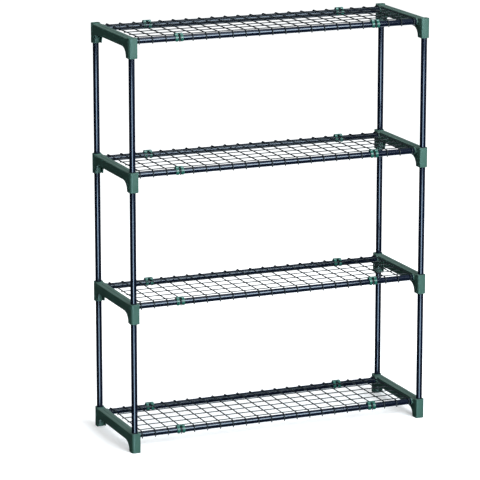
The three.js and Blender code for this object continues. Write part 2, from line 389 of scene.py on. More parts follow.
class Paint:
    """A material in the making: a Principled shader and what changes over its coordinates."""

    def __init__(self, name, base, roughness):
        self.material = bpy.data.materials.new(name)
        self.material.use_nodes = True
        self.tree = self.material.node_tree
        self.shader = self.tree.nodes["Principled BSDF"]
        self.coordinates = add(self.tree, "ShaderNodeTexCoord", -1800).outputs["Object"]
        self.colour = add(self.tree, "ShaderNodeRGB", -1500, 300).outputs[0]
        self.colour.default_value = (*base, 1)
        self.roughness = roughness
        self.heights = []
        self.column = -1200

    def mask(self, group, **values):
        """A shader group's mask over the object, with its inputs set."""
        node = add(self.tree, "ShaderNodeGroup", self.column, -300, node_tree=group)
        link(self.tree, self.coordinates, node.inputs["Vector"])
        for label, value in values.items():
            node.inputs[label.replace("_", " ")].default_value = value
        self.column += 200
        return node.outputs["Mask"]

    def tint(self, mask, colour, amount=1.0):
        """Blends the colour towards another one where the mask is high."""
        strength = math_node(self.tree, "MULTIPLY", mask, amount, (self.column, 100))
        mix = add(self.tree, "ShaderNodeMix", self.column + 150, 300, data_type="RGBA")
        link(self.tree, strength, mix.inputs["Factor"])
        link(self.tree, self.colour, mix.inputs["A"])
        mix.inputs["B"].default_value = (*colour, 1)
        self.colour = mix.outputs["Result"]
        self.column += 200

    def roughen(self, mask, amount):
        """Adds to the roughness where the mask is high."""
        node = add(self.tree, "ShaderNodeMath", self.column, -100, operation="MULTIPLY_ADD")
        for socket, value in zip(node.inputs, (mask, amount, self.roughness)):
            feed(self.tree, value, socket)
        self.roughness = node.outputs[0]
        self.column += 200

    def grain(self, scale, detail, depth):
        """Surface relief, depth in metres."""
        height = noise(self.tree, self.coordinates, scale, detail, (self.column, -600))
        self.heights.append((height, depth))
        self.column += 100

    def finish(self, **constants):
        """Wires the shader up and sets its constant inputs."""
        normal = None
        for height, depth in self.heights:
            bump = add(self.tree, "ShaderNodeBump", self.column, -600)
            bump.inputs["Distance"].default_value = depth
            bump.inputs["Strength"].default_value = 1.0
            link(self.tree, height, bump.inputs["Height"])
            if normal is not None:
                link(self.tree, normal, bump.inputs["Normal"])
            normal = bump.outputs["Normal"]
            self.column += 200
        link(self.tree, self.colour, self.shader.inputs["Base Color"])
        feed(self.tree, self.roughness, self.shader.inputs["Roughness"])
        if normal is not None:
            link(self.tree, normal, self.shader.inputs["Normal"])
        for label, value in constants.items():
            self.shader.inputs[label.replace("_", " ")].default_value = value
        self.shader.location = (self.column + 300, 200)
        return self.material


def bracket_plastic():
    paint = Paint("bracket_plastic", (0.036, 0.093, 0.072), 0.42)
    tone = paint.mask(MOTTLE, Broad=11.0, Fine=220.0)
    paint.tint(tone, (0.052, 0.120, 0.095), 0.55)
    # Pale upward faces: partly settled dust, partly a painted top light that stands in for light
    # from above.
    dust_and_top_light = paint.mask(DUST_AND_TOP_LIGHT, Amount=0.6)
    paint.tint(dust_and_top_light, (0.105, 0.140, 0.122))
    scuffs = paint.mask(SCUFFS, Stretch=(260, 22, 260), Amount=0.35)
    paint.tint(scuffs, (0.10, 0.20, 0.165))
    paint.roughen(tone, 0.12)
    paint.roughen(dust_and_top_light, 0.15)
    paint.grain(1900, 3.0, 0.06 * MM)
    paint.grain(260, 2.0, 0.10 * MM)
    return paint.finish(Specular_IOR_Level=0.35)


def clip_plastic():
    paint = Paint("clip_plastic", (0.008, 0.082, 0.060), 0.30)
    tone = paint.mask(MOTTLE, Broad=60.0, Fine=500.0)
    paint.tint(tone, (0.015, 0.120, 0.088), 0.6)
    scuffs = paint.mask(SCUFFS, Stretch=(90, 500, 500), Amount=0.4)
    paint.tint(scuffs, (0.09, 0.24, 0.19))
    paint.roughen(tone, 0.10)
    paint.grain(1500, 2.0, 0.05 * MM)
    return paint.finish(Specular_IOR_Level=0.5)


def tube_paint(name, stretch):
    paint = Paint(name, (0.0022, 0.0042, 0.0115), 0.13)
    tone = paint.mask(MOTTLE, Broad=16.0, Fine=420.0)
    paint.tint(tone, (0.0045, 0.0072, 0.0175), 0.7)
    scuffs = paint.mask(SCUFFS, Stretch=stretch, Amount=0.25)
    paint.tint(scuffs, (0.012, 0.016, 0.026))
    paint.roughen(tone, 0.05)
    paint.roughen(scuffs, 0.10)
    paint.grain(620, 2.0, 0.008 * MM)
    return paint.finish(Specular_IOR_Level=0.55, Specular_Tint=(0.76, 0.88, 1.0, 1))


def wire_coat():
    paint = Paint("wire_coat", (0.006, 0.010, 0.012), 0.34)
    tone = paint.mask(MOTTLE, Broad=26.0, Fine=640.0)
    paint.tint(tone, (0.013, 0.020, 0.021), 0.7)
    dust_and_top_light = paint.mask(DUST_AND_TOP_LIGHT, Amount=0.12)
    paint.tint(dust_and_top_light, (0.05, 0.062, 0.06))
    paint.roughen(tone, 0.10)
    paint.grain(900, 2.0, 0.05 * MM)
    return paint.finish(Specular_IOR_Level=0.3)


BRACKET_PLASTIC = bracket_plastic()
CLIP_PLASTIC = clip_plastic()
POST_PAINT = tube_paint("post_paint", (520, 520, 9))
RAIL_PAINT = tube_paint("rail_paint", (9, 520, 520))
WIRE_COAT = wire_coat()


# ---------------------------------------------------------------------------------------------
# Mesh helpers

def arc(cx, cy, rx, ry, start, end, steps):
    """Points of an elliptic arc from one angle to another, in degrees."""
    angles = [math.radians(start + (end - start) * i / steps) for i in range(steps + 1)]
    return [(cx + rx * math.cos(a), cy + ry * math.sin(a)) for a in angles]


def ring(radius, cx, cy):
    return arc(cx, cy, radius, radius, 0, 360, ROUND_STEPS)[:-1]


def round_edges(bm, edges, radius):
    bmesh.ops.bevel(
        bm, geom=edges, offset=radius, segments=3, profile=0.5, affect="EDGES", clamp_overlap=True)


def as_mesh(bm):
    mesh = bpy.data.meshes.new("solid")
    bm.to_mesh(mesh)
    bm.free()
    return mesh


# How a shape drawn in x and y and raised along z is laid along each axis.
AXES = {
    "x": Matrix(((0, 0, 1, 0), (1, 0, 0, 0), (0, 1, 0, 0), (0, 0, 0, 1))),
    "y": Matrix(((0, 1, 0, 0), (0, 0, 1, 0), (1, 0, 0, 0), (0, 0, 0, 1))),
    "z": Matrix.Identity(4),
}


def prism(outline, axis, start, end, edge=0.0):
    """A closed solid from an outline, with its two rims rounded.

    The outline is (y, z) points along x, (z, x) points along y, or (x, y) points along z.
    """
    area = sum(a[0] * b[1] - b[0] * a[1] for a, b in zip(outline, outline[1:] + outline[:1]))
    points = outline if area > 0 else outline[::-1]
    bm = bmesh.new()
    low = [bm.verts.new((x, y, start)) for x, y in points]
    high = [bm.verts.new((x, y, end)) for x, y in points]
    bm.faces.new(low[::-1])
    bm.faces.new(high)
    count = len(points)
    for i in range(count):
        j = (i + 1) % count
        bm.faces.new((low[i], low[j], high[j], high[i]))
    if edge:
        rims = [e for e in bm.edges if abs(e.verts[0].co.z - e.verts[1].co.z) < 1e-9]
        round_edges(bm, rims, edge)
    bmesh.ops.transform(bm, matrix=AXES[axis], verts=bm.verts)
    bmesh.ops.recalc_face_normals(bm, faces=bm.faces)
    return as_mesh(bm)


def block(x_span, y_span, z_span, edge):
    """A box with every edge rounded. Each span is its low and high end along one axis."""
    bm = bmesh.new()
    bmesh.ops.create_cube(bm, size=1.0)
    for v in bm.verts:
        spans = zip(v.co, (x_span, y_span, z_span))
        v.co = Vector([span[0] if place < 0 else span[1] for place, span in spans])
    round_edges(bm, bm.edges[:], edge)
    return as_mesh(bm)


def turned(profile):
    """A solid of revolution about z from (radius, z) points that start and end on the axis."""
    bm = bmesh.new()
    rows = []
    for radius, z in profile:
        if radius < 1e-9:
            rows.append([bm.verts.new((0, 0, z))])
        else:
            rows.append([
                bm.verts.new((radius * math.cos(a), radius * math.sin(a), z))
                for a in (2 * math.pi * i / ROUND_STEPS for i in range(ROUND_STEPS))
            ])
    for below, above in zip(rows, rows[1:]):
        for i in range(ROUND_STEPS):
            j = (i + 1) % ROUND_STEPS
            corners = []
            for row, k in ((below, i), (below, j), (above, j), (above, i)):
                v = row[k % len(row)]
                if v not in corners:
                    corners.append(v)
            if len(corners) > 2:
                bm.faces.new(corners)
    bmesh.ops.recalc_face_normals(bm, faces=bm.faces)
    return as_mesh(bm)


def moved(mesh, x=0.0, y=0.0, z=0.0, turn=None):
    place = Matrix.Translation((x, y, z))
    mesh.transform(place @ turn if turn else place)
    return mesh


def carve(first, others, operation):
    """Joins meshes to the first one, or cuts them out of it."""
    holder = bpy.data.objects.new("carve", first)
    bpy.context.scene.collection.objects.link(holder)
    tools = []
    for mesh in others:
        tool = bpy.data.objects.new("tool", mesh)
        bpy.context.scene.collection.objects.link(tool)
        tools.append(tool)
        modifier = holder.modifiers.new("cut", "BOOLEAN")
        modifier.operation = operation
        modifier.solver = "EXACT"
        modifier.object = tool
    result = settle(holder)
    for tool in tools:
        bpy.data.objects.remove(tool)
    return result


def tidy_shading(mesh, angle):
    """Smooth shading that stays sharp at edges above the angle, in degrees."""
    for polygon in mesh.polygons:
        polygon.use_smooth = True
    mesh.set_sharp_from_angle(angle=math.radians(angle))
    return mesh


def add_piece(name, mesh, material, nodes):
    """Puts a finished mesh in the scene as a piece that rides on the rack, for its CAD nodes."""
    mesh.name = name
    mesh.materials.clear()
    mesh.materials.append(material)
    piece = bpy.data.objects.new(name, mesh)
    bpy.context.scene.collection.objects.link(piece)
    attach(piece, BODY)
    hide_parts(*nodes)


# ---------------------------------------------------------------------------------------------
# End brackets, drawn for the left end with the post axes at x = 0

def bracket_sizes():
    """Places read from the frame, about the collar's foot and the post axes."""
    low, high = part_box("end_bracket_left_tier_1")
    post = centre("post_front_left_level_1")
    rail = centre("rail_front_tier_1")
    sizes = {
        "post_y": -post.y,
        "height": high.z - low.z,
        "reach": -low.x + post.x,
        "boss_face": high.x - post.x,
        "rail_y": -rail.y,
        "rail_z": rail.z - low.z,
    }
    sizes["beam_top"] = sizes["height"] - COLLAR_RISE
    sizes["beam_bottom"] = sizes["beam_top"] - BEAM_HEIGHT
    sizes["inner"] = R_BORE + COLLAR_INNER_WALL
    sizes["beam_reach"] = sizes["reach"] - BEAM_SETBACK
    sizes["under_rail"] = sizes["rail_z"] - R_BORE - RAIL_BOSS_WALL
    sizes["hollow_end"] = sizes["rail_y"] - R_BORE - RAIL_BOSS_WALL
    outer, inner, wall = -sizes["beam_reach"], sizes["inner"], PLATE_THICKNESS
    sizes["outer_plate"] = (outer, outer + wall)
    sizes["inner_plate"] = (inner - wall, inner)
    sizes["between_plates"] = (outer + wall - OVERLAP, inner - wall + OVERLAP)
    return sizes


def collar(s, side):
    """One post collar, a rounded block. The side is -1 at the front and 1 at the rear."""
    out, inner = -s["reach"], s["inner"]
    big, small = COLLAR_OUTER_ROUND, COLLAR_INNER_ROUND
    outline = [(out, 0.0)]
    outline += arc(out + big, big - s["reach"], big, big, 180, 270, 12)
    outline += arc(inner - small, small - s["reach"], small, small, 270, 360, 8)
    outline += [(inner, 0.0)]
    placed = [(x, side * (s["post_y"] - reach)) for x, reach in outline]
    return prism(placed, "z", 0, s["height"], EDGE_ROUND)


def gusset(s, side, plate):
    """One plate below the beam: a foot beside the collar, then a hollow curve up to the beam."""
    run = GUSSET_REACH - GUSSET_FOOT
    r = GUSSET_FOOT_ROUND
    top = (s["beam_bottom"] + s["beam_top"]) / 2
    outline = [(-GUSSET_OVERLAP, 0.0)]
    outline += arc(GUSSET_FOOT - r, r, r, r, 270, 360, 6)
    outline += arc(GUSSET_REACH, r, -run, s["beam_bottom"] - r, 0, 90, 20)[1:]
    outline += [(GUSSET_REACH, top), (-GUSSET_OVERLAP, top)]
    placed = [(side * (s["post_y"] - reach), z) for reach, z in outline]
    return prism(placed, "x", *plate, FINE_ROUND)


def beam(s):
    """The bar between the collars: an upside-down channel with its outer top edge well rounded."""
    out, inner = -s["beam_reach"], s["inner"]
    top, bottom = s["beam_top"], s["beam_bottom"]
    big, small, wall = BEAM_OUTER_ROUND, EDGE_ROUND, PLATE_THICKNESS
    outline = [(out + wall, bottom), (out + wall, top - wall)]
    outline += [(inner - wall, top - wall), (inner - wall, bottom)]
    outline += arc(inner - small, bottom + small, small, small, 270, 360, 3)
    outline += arc(inner - small, top - small, small, small, 0, 90, 4)
    outline += arc(out + big, top - big, big, big, 90, 180, 6)
    outline += arc(out + small, bottom + small, small, small, 180, 270, 3)
    turned_outline = [(z, x) for x, z in outline]
    return prism(turned_outline, "y", -s["post_y"], s["post_y"])


def rib_tree():
    """Cross ribs inside the beam, spaced evenly along y."""
    tree, start, end = geometry_tree("beam_ribs", [
        ("Count", "NodeSocketInt", RIB_COUNT),
        ("Pitch", "NodeSocketFloat", 0.04),
        ("Size", "NodeSocketVector", (0.02, 0.002, 0.02)),
        ("Centre", "NodeSocketVector", (0, 0, 0)),
        ("Material", "NodeSocketMaterial", None),
    ])
    g = start.outputs
    rib = add(tree, "GeometryNodeMeshCube", -400, -400)
    link(tree, g["Size"], rib.inputs["Size"])
    spread = add(tree, "GeometryNodeInstanceOnPoints", 0, 0)
    link(tree, row_of_points(tree, g["Count"], g["Pitch"], False, 0), spread.inputs["Points"])
    link(tree, rib.outputs[0], spread.inputs["Instance"])
    shift = add(tree, "GeometryNodeTransform", 600, 0)
    link(tree, spread.outputs[0], shift.inputs["Geometry"])
    link(tree, g["Centre"], shift.inputs["Translation"])
    finish_tree(tree, shift.outputs[0], g["Material"], end)
    return tree


def boss(face):
    """The solid of a rail boss up to its face, with the rim rounded in two steps."""
    r = R_BORE + RAIL_BOSS_WALL
    edge, middle = RAIL_BOSS_EDGE, RAIL_BOSS_EDGE_MIDDLE
    return turned([
        (0, 0), (r, 0), (r, face - edge), (r - middle, face - middle), (r - edge, face), (0, face)])


def bore_cutter(stop, mouth, depth, flare):
    """The inside of a bore, from its stop to a flared mouth and a little past it."""
    way = 1 if mouth > stop else -1
    past = mouth + way * OVERLAP
    profile = [
        (0, stop), (R_BORE, stop), (R_BORE, mouth - way * depth), (R_BORE + flare, past), (0, past)]
    return turned(profile[::way])


def bracket_ribs(s):
    low, high = s["beam_bottom"] + RIB_LIFT, s["beam_top"] - OVERLAP
    left, right = s["between_plates"]
    return run_tree("ribs", rib_tree(), {
        "Count": RIB_COUNT,
        "Pitch": 2 * s["hollow_end"] * RIB_SPREAD / (RIB_COUNT - 1),
        "Size": (right - left, RIB_THICKNESS, high - low),
        "Centre": ((left + right) / 2, 0, (low + high) / 2),
        "Material": BRACKET_PLASTIC,
    })


def bracket_body(s):
    """Collars, sockets, gussets, hollow ends, rail bosses and ribs, joined to the beam."""
    hollow_height = (s["under_rail"], s["beam_top"] - OVERLAP)
    parts = []
    for side in (-1, 1):
        y = side * s["post_y"]
        parts.append(collar(s, side))
        parts.append(prism(ring(R_BORE + SOCKET_WALL, 0, y), "z", 0, s["height"], FINE_ROUND))
        parts += [gusset(s, side, s[plate]) for plate in ("outer_plate", "inner_plate")]
        ends = sorted((side * (s["post_y"] - HOLLOW_END_DEPTH), side * s["hollow_end"]))
        parts.append(block(s["between_plates"], ends, hollow_height, FINE_ROUND))
        parts.append(moved(boss(s["boss_face"]), 0, side * s["rail_y"], s["rail_z"], ALONG_X))
    return carve(beam(s), parts + [bracket_ribs(s)], "UNION")


def bracket_bores(s):
    lead = SOCKET_LEAD_IN
    cutters = []
    for side in (-1, 1):
        for stop, mouth in ((SOCKET_STOP_BOTTOM, 0), (SOCKET_STOP_TOP, s["height"])):
            socket = bore_cutter(stop, mouth, lead, lead + OVERLAP)
            cutters.append(moved(socket, 0, side * s["post_y"], 0))
        rail = bore_cutter(-RAIL_STOP, s["boss_face"], RAIL_MOUTH_DEPTH, RAIL_MOUTH_FLARE)
        cutters.append(moved(rail, 0, side * s["rail_y"], s["rail_z"], ALONG_X))
    return cutters


def bracket_grooves(s):
    """One groove along the top of the beam and three along its inner side."""
    end = s["post_y"] - 2 * s["reach"]
    depth = (s["beam_top"] - GROOVE_DEPTH, s["beam_top"] + OVERLAP)
    cutters = [block((0, TOP_GROOVE_WIDTH), (-end, end), depth, TOP_GROOVE_ROUND)]
    end = s["hollow_end"] - SIDE_GROOVE_END
    depth = (s["inner"] - GROOVE_DEPTH, s["inner"] + 2 * OVERLAP)
    middle = (s["beam_bottom"] + s["beam_top"]) / 2
    half = SIDE_GROOVE_HEIGHT / 2
    for step in (-1, 0, 1):
        z = middle + step * SIDE_GROOVE_PITCH
        cutters.append(block(depth, (-end, end), (z - half, z + half), SIDE_GROOVE_ROUND))
    return cutters


def bracket_mesh():
    s = bracket_sizes()
    cutters = bracket_bores(s) + bracket_grooves(s)
    return tidy_shading(carve(bracket_body(s), cutters, "DIFFERENCE"), BRACKET_SHARP)


def build_brackets():
    left = bracket_mesh()
    post_x = centre("post_front_right_level_1").x
    half_turn = Matrix.Rotation(math.pi, 4, "Z")
    for tier in TIERS:
        for end in ENDS:
            node = f"end_bracket_{end}_tier_{tier}"
            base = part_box(node)[0].z
            mesh = left.copy()
            if end == "left":
                moved(mesh, -post_x, 0, base)
            else:
                moved(mesh, post_x, 0, base, half_turn)
            name = f"moulded_bracket_{end}_{tier}"
            add_piece(name, mesh, BRACKET_PLASTIC, [node])
    bpy.data.meshes.remove(left)


# ---------------------------------------------------------------------------------------------
# Steel tubes

def tube_tree():
    """A hollow tube along z with rounded lips: a wall section swept round a circle."""
    tree, start, end = geometry_tree("steel_tube", [
        ("Length", "NodeSocketFloat", 0.3),
        ("Radius", "NodeSocketFloat", 0.0085),
        ("Wall", "NodeSocketFloat", 0.001),
        ("Sides", "NodeSocketInt", ROUND_STEPS),
        ("Material", "NodeSocketMaterial", None),
    ])
    half_wall = math_node(tree, "MULTIPLY", start.outputs["Wall"], 0.5, (-900, 200))
    middle = math_node(tree, "SUBTRACT", start.outputs["Radius"], half_wall, (-700, 200))
    circle = add(tree, "GeometryNodeCurvePrimitiveCircle", -400, 200)
    link(tree, start.outputs["Sides"], circle.inputs["Resolution"])
    link(tree, middle, circle.inputs["Radius"])
    section = add(tree, "GeometryNodeCurvePrimitiveQuadrilateral", -700, -200)
    link(tree, start.outputs["Wall"], section.inputs["Width"])
    link(tree, start.outputs["Length"], section.inputs["Height"])
    lips = add(tree, "GeometryNodeFilletCurve", -400, -200)
    lip_radius = math_node(tree, "MULTIPLY", start.outputs["Wall"], TUBE_LIP_SHARE, (-700, -400))
    set_poly_fillet(lips, TUBE_LIP_STEPS)
    link(tree, section.outputs[0], lips.inputs["Curve"])
    link(tree, lip_radius, lips.inputs["Radius"])
    sweep = add(tree, "GeometryNodeCurveToMesh", 0, 0)
    link(tree, circle.outputs[0], sweep.inputs["Curve"])
    link(tree, lips.outputs[0], sweep.inputs["Profile Curve"])
    finish_tree(tree, sweep.outputs[0], start.outputs["Material"], end)
    return tree


def set_poly_fillet(node, count):
    """Makes a fillet node round each corner with short straight steps."""
    node.mode = "POLY"
    node.inputs["Count"].default_value = count


def outward(mesh):
    """Joins vertices that coincide and turns every face outward."""
    bm = bmesh.new()
    bm.from_mesh(mesh)
    bmesh.ops.remove_doubles(bm, verts=bm.verts, dist=1e-6)
    bmesh.ops.recalc_face_normals(bm, faces=bm.faces)
    bm.to_mesh(mesh)
    bm.free()
    return mesh


def build_tubes():
    tree = tube_tree()

    def tube(node, name, axis, material):
        low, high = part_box(node)
        mesh = run_tree(name, tree, {
            "Length": (high - low)[axis],
            "Radius": R_TUBE,
            "Wall": TUBE_WALL,
            "Sides": ROUND_STEPS,
            "Material": material,
        })
        moved(outward(mesh), *centre(node), ALONG_X if axis == 0 else None)
        add_piece(name, tidy_shading(mesh, ROUND_SHARP), material, [node])

    for row in ROWS:
        for end in ENDS:
            for level in LEVELS:
                node = f"post_{row}_{end}_level_{level}"
                tube(node, f"post_tube_{row}_{end}_{level}", 2, POST_PAINT)
        for tier in TIERS:
            tube(f"rail_{row}_tier_{tier}", f"rail_tube_{row}_{tier}", 0, RAIL_PAINT)


# ---------------------------------------------------------------------------------------------
# Welded wire decks

def deck_tree():
    """Cross wires that hook over both rails, long wires under them, and a weld at each crossing."""
    tree, start, end = geometry_tree("wire_deck", [
        ("Cross Count", "NodeSocketInt", CROSS_WIRE_COUNT),
        ("Cross Pitch", "NodeSocketFloat", 0.039),
        ("Cross Radius", "NodeSocketFloat", CROSS_WIRE_D / 2),
        ("Cross Height", "NodeSocketFloat", 0.05),
        ("Hook Y", "NodeSocketFloat", 0.13),
        ("Hook End Height", "NodeSocketFloat", 0.03),
        ("Bend Radius", "NodeSocketFloat", 0.0104),
        ("Long Count", "NodeSocketInt", LONG_WIRE_COUNT),
        ("Long Pitch", "NodeSocketFloat", 0.041),
        ("Long Radius", "NodeSocketFloat", LONG_WIRE_D / 2),
        ("Long Height", "NodeSocketFloat", 0.048),
        ("Long Half Length", "NodeSocketFloat", 0.415),
        ("Weld Radii", "NodeSocketVector", WELD_RADII),
        ("Unevenness", "NodeSocketFloat", WIRE_UNEVENNESS),
        ("Seed", "NodeSocketInt", 1),
        ("Material", "NodeSocketMaterial", None),
    ])
    g = start.outputs

    def swept(curve, radius, y):
        """A round wire along a curve, with closed ends."""
        circle = add(tree, "GeometryNodeCurvePrimitiveCircle", -100, y - 150)
        circle.inputs["Resolution"].default_value = WIRE_SIDES
        link(tree, radius, circle.inputs["Radius"])
        sweep = add(tree, "GeometryNodeCurveToMesh", 100, y)
        sweep.inputs["Fill Caps"].default_value = True
        link(tree, curve, sweep.inputs["Curve"])
        link(tree, circle.outputs[0], sweep.inputs["Profile Curve"])
        return sweep.outputs[0]

    def spread(points, shape, y):
        """A copy of the shape on each point, a little out of place."""
        jitter = add(tree, "FunctionNodeRandomValue", 0, y - 300, data_type="FLOAT_VECTOR")
        reach = combine(tree, g["Unevenness"], g["Unevenness"], 0.0, (-300, y - 260))
        back = add(tree, "ShaderNodeVectorMath", -150, y - 320, operation="SCALE")
        back.inputs["Scale"].default_value = -1.0
        link(tree, reach, back.inputs[0])
        link(tree, back.outputs[0], jitter.inputs["Min"])
        link(tree, reach, jitter.inputs["Max"])
        link(tree, g["Seed"], jitter.inputs["Seed"])
        nudge = add(tree, "GeometryNodeSetPosition", 200, y - 100)
        link(tree, points, nudge.inputs["Geometry"])
        link(tree, jitter.outputs["Value"], nudge.inputs["Offset"])
        copies = add(tree, "GeometryNodeInstanceOnPoints", 400, y)
        link(tree, nudge.outputs[0], copies.inputs["Points"])
        link(tree, shape, copies.inputs["Instance"])
        return copies.outputs[0]

    hook_front = math_node(tree, "MULTIPLY", g["Hook Y"], -1.0, (-900, 700))
    path = add(tree, "GeometryNodeCurvePrimitiveQuadrilateral", -500, 700, mode="POINTS")
    corners = (
        (hook_front, g["Hook End Height"]), (hook_front, g["Cross Height"]),
        (g["Hook Y"], g["Cross Height"]), (g["Hook Y"], g["Hook End Height"]),
    )
    for i, (y, z) in enumerate(corners):
        link(tree, combine(tree, 0.0, y, z, (-700, 900 - 100 * i)), path.inputs[f"Point {i + 1}"])
    opened = add(tree, "GeometryNodeSetSplineCyclic", -300, 700)
    opened.inputs["Cyclic"].default_value = False
    link(tree, path.outputs[0], opened.inputs[0])
    bent = add(tree, "GeometryNodeFilletCurve", -100, 700)
    set_poly_fillet(bent, WIRE_BEND_STEPS)
    link(tree, opened.outputs[0], bent.inputs["Curve"])
    link(tree, g["Bend Radius"], bent.inputs["Radius"])
    cross = spread(
        row_of_points(tree, g["Cross Count"], g["Cross Pitch"], True, 300),
        swept(bent.outputs[0], g["Cross Radius"], 700), 500)

    straight = add(tree, "GeometryNodeCurvePrimitiveLine", -500, -200)
    back = math_node(tree, "MULTIPLY", g["Long Half Length"], -1.0, (-900, -200))
    for x, y, label in ((back, -150, "Start"), (g["Long Half Length"], -250, "End")):
        link(tree, combine(tree, x, 0.0, g["Long Height"], (-700, y)), straight.inputs[label])
    lengthwise = spread(
        row_of_points(tree, g["Long Count"], g["Long Pitch"], False, -500),
        swept(straight.outputs[0], g["Long Radius"], -200), -300)

    nugget = add(tree, "GeometryNodeMeshUVSphere", -500, -900)
    nugget.inputs["Segments"].default_value = 8
    nugget.inputs["Rings"].default_value = 5
    nugget.inputs["Radius"].default_value = 1.0
    rows = row_of_points(tree, g["Long Count"], g["Long Pitch"], False, -1100)
    welds = row_of_points(tree, g["Cross Count"], g["Cross Pitch"], True, -1400)
    one_row = add(tree, "GeometryNodeInstanceOnPoints", 100, -1000)
    link(tree, welds, one_row.inputs["Points"])
    link(tree, nugget.outputs[0], one_row.inputs["Instance"])
    link(tree, g["Weld Radii"], one_row.inputs["Scale"])
    all_rows = add(tree, "GeometryNodeInstanceOnPoints", 400, -1000)
    link(tree, rows, all_rows.inputs["Points"])
    link(tree, one_row.outputs[0], all_rows.inputs["Instance"])
    lifted = add(tree, "GeometryNodeTransform", 600, -1000)
    seam = math_node(tree, "ADD", g["Long Height"], g["Long Radius"], (200, -1300))
    link(tree, all_rows.outputs[0], lifted.inputs["Geometry"])
    link(tree, combine(tree, 0.0, 0.0, seam, (400, -1300)), lifted.inputs["Translation"])

    together = add(tree, "GeometryNodeJoinGeometry", 800, 0)
    for geometry in (cross, lengthwise, lifted.outputs[0]):
        link(tree, geometry, together.inputs[0])
    finish_tree(tree, together.outputs[0], g["Material"], end)
    return tree


def build_decks():
    tree = deck_tree()
    rail = centre("rail_front_tier_1")
    hook_reach = R_BORE + CROSS_WIRE_D / 2
    for tier in TIERS:
        node = f"wire_deck_tier_{tier}"
        name = f"deck_wires_{tier}"
        low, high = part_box(node)
        cross_z = centre(f"rail_front_tier_{tier}").z + hook_reach
        end_wire_x = high.x - LONG_WIRE_OVERRUN
        mesh = run_tree(name, tree, {
            "Cross Count": CROSS_WIRE_COUNT,
            "Cross Pitch": 2 * end_wire_x / (CROSS_WIRE_COUNT - 1),
            "Cross Radius": CROSS_WIRE_D / 2,
            "Cross Height": cross_z,
            "Hook Y": -rail.y + hook_reach,
            "Hook End Height": low.z,
            "Bend Radius": hook_reach,
            "Long Count": LONG_WIRE_COUNT,
            "Long Pitch": 2 * (-rail.y - LONG_WIRE_INSET) / (LONG_WIRE_COUNT - 1),
            "Long Radius": LONG_WIRE_D / 2,
            "Long Height": cross_z - CROSS_WIRE_D / 2 - LONG_WIRE_D / 2 + WELD_BITE,
            "Long Half Length": high.x,
            "Seed": tier,
            "Material": WIRE_COAT,
        })
        mesh = tidy_shading(outward(mesh), ROUND_SHARP)
        add_piece(name, mesh, WIRE_COAT, [node])


# ---------------------------------------------------------------------------------------------
# Snap clips, drawn about the rail axis

def around(radius, start, end, steps):
    """An arc about the rail axis."""
    return arc(0, 0, radius, radius, start, end, steps)


def clip_band_outline(top):
    """A C-shaped band with a thick lip on each side of its mouth and a squared shoulder on top."""
    outer, lip = R_BORE + CLIP_WALL, R_BORE + CLIP_WALL + CLIP_LIP
    start, end = CLIP_MOUTH_HALF_ANGLE - 90, 270 - CLIP_MOUTH_HALF_ANGLE
    sweep = CLIP_LIP_SWEEP
    r = CLIP_CORNER_ROUND
    corner = CLIP_BRIDGE_HALF_DEPTH - r
    outline = around(lip, start, start + sweep, 2)
    outline += around(outer, start + 2 * sweep, CLIP_SHOULDER, 16)
    outline += arc(corner, top - r, r, r, 30, 90, 4)
    outline += arc(-corner, top - r, r, r, 90, 150, 4)
    outline += around(outer, 180 - CLIP_SHOULDER, end - 2 * sweep, 16)
    outline += around(lip, end - sweep, end, 2)
    outline += around(R_BORE, end, start, 32)
    return outline


def clip_ribs(x):
    """A raised rib down the outside of each half of the band at x."""
    outer = R_BORE + CLIP_WALL
    start = CLIP_MOUTH_HALF_ANGLE - 90 + CLIP_RIB_START
    end = CLIP_SHOULDER + CLIP_RIB_PAST_SHOULDER
    outline = around(outer + CLIP_RIB_RISE, start, end, 14)
    outline += around(outer - CLIP_RIB_ROOT, end, start, 14)
    mirrored = [(-y, z) for y, z in outline]
    span = (x - CLIP_RIB_HALF_WIDTH, x + CLIP_RIB_HALF_WIDTH)
    return [prism(half, "x", *span, FINE_ROUND) for half in (outline, mirrored)]


def clip_mesh(top):
    """Two sprung bands round the rail, joined by a bridge over a cross wire."""
    slot = CLIP_SLOT_WIDTH / 2
    width = slot + CLIP_BAND_WIDTH
    outline = clip_band_outline(top)
    spans = ((-width, -slot), (slot, width))
    bands = [prism(outline, "x", *span, CLIP_BAND_ROUND) for span in spans]
    x = slot + CLIP_BRIDGE_OVERLAP
    y = CLIP_BRIDGE_HALF_DEPTH - CLIP_BRIDGE_SETBACK
    bridge = block((-x, x), (-y, y), (top - CLIP_BRIDGE, top - CLIP_BRIDGE_DROP), CLIP_BRIDGE_ROUND)
    middle = slot + CLIP_BAND_WIDTH / 2
    ribs = clip_ribs(-middle) + clip_ribs(middle)
    return tidy_shading(carve(bands[0], [bands[1], bridge] + ribs, "UNION"), CLIP_SHARP)


def build_clips():
    clip_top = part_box("clip_front_left_tier_1")[1].z
    shape = clip_mesh(clip_top - centre("rail_front_tier_1").z)
    for tier in TIERS:
        for row in ROWS:
            rail = centre(f"rail_{row}_tier_{tier}")
            for end in ENDS:
                node = f"clip_{row}_{end}_tier_{tier}"
                mesh = moved(shape.copy(), centre(node).x, rail.y, rail.z)
                name = f"snap_clip_{row}_{end}_{tier}"
                add_piece(name, mesh, CLIP_PLASTIC, [node])
    bpy.data.meshes.remove(shape)


# ---------------------------------------------------------------------------------------------
# Floor, lights and camera

